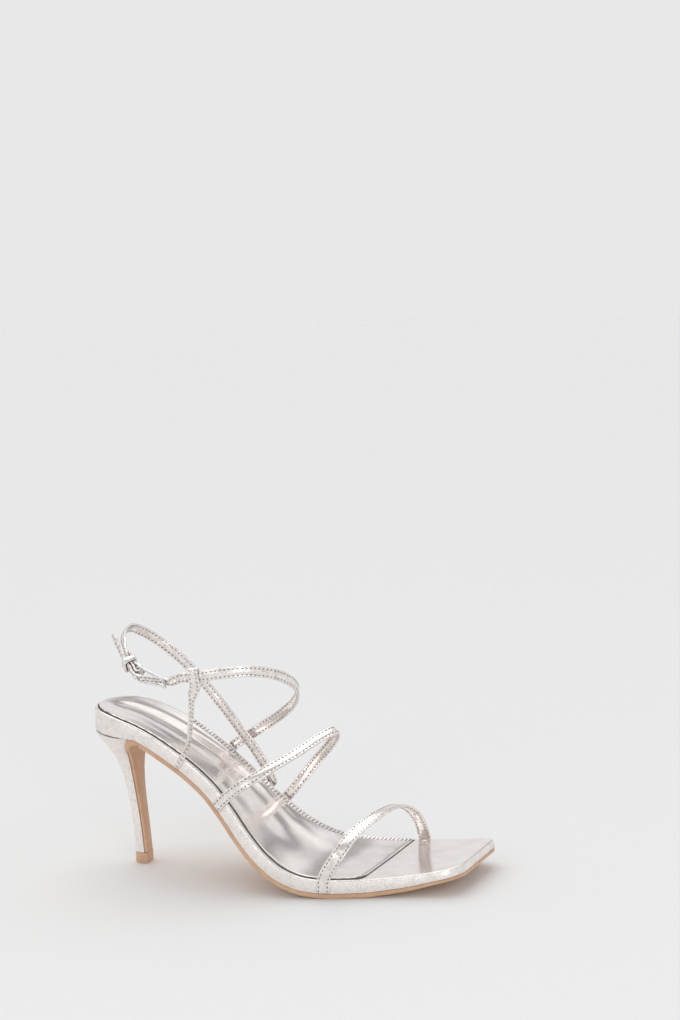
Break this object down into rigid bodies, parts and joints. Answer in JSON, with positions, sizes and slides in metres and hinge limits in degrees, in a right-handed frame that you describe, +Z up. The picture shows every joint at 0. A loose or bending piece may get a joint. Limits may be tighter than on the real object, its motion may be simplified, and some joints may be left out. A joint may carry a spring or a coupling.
{
  "type": "strappy_heeled_sandal",
  "caption": "Right strappy high-heeled sandal in crackled silver leather, with a padded sock, a slim covered heel, an ankle strap with a small buckle and a tan sole.",
  "frame": {"origin": "the centre of the heel tip's flat underside, on the floor", "axes": "+X to the toe, +Y to the inner (medial) side of the foot, so the buckle is on the -Y side, +Z up"},
  "size_m": [0.2243, 0.0837, 0.1391],
  "materials": {
    "silver_leather": "metallic foil over leather with a fine crackle",
    "silver_lining": "smooth shiny metallic leather over padding",
    "strap_leather": "crackled metallic leather, folded edges, stitched along both edges",
    "tan_sole": "matte nude tan",
    "polished_metal": "polished plated wire"
  },
  "bodies": {
    "root": {"outsole": "tan_sole", "insole": "silver_leather", "sock": "silver_lining", "heel": "silver_leather", "toplift": "tan_sole", "toe_strap": "strap_leather", "instep_strap": "strap_leather", "side_strap": "strap_leather", "ankle_strap": "strap_leather", "back_strap": "strap_leather", "keeper": "strap_leather", "buckle_frame": "polished_metal", "buckle_prong": "polished_metal"}
  },
  "joints": []
}
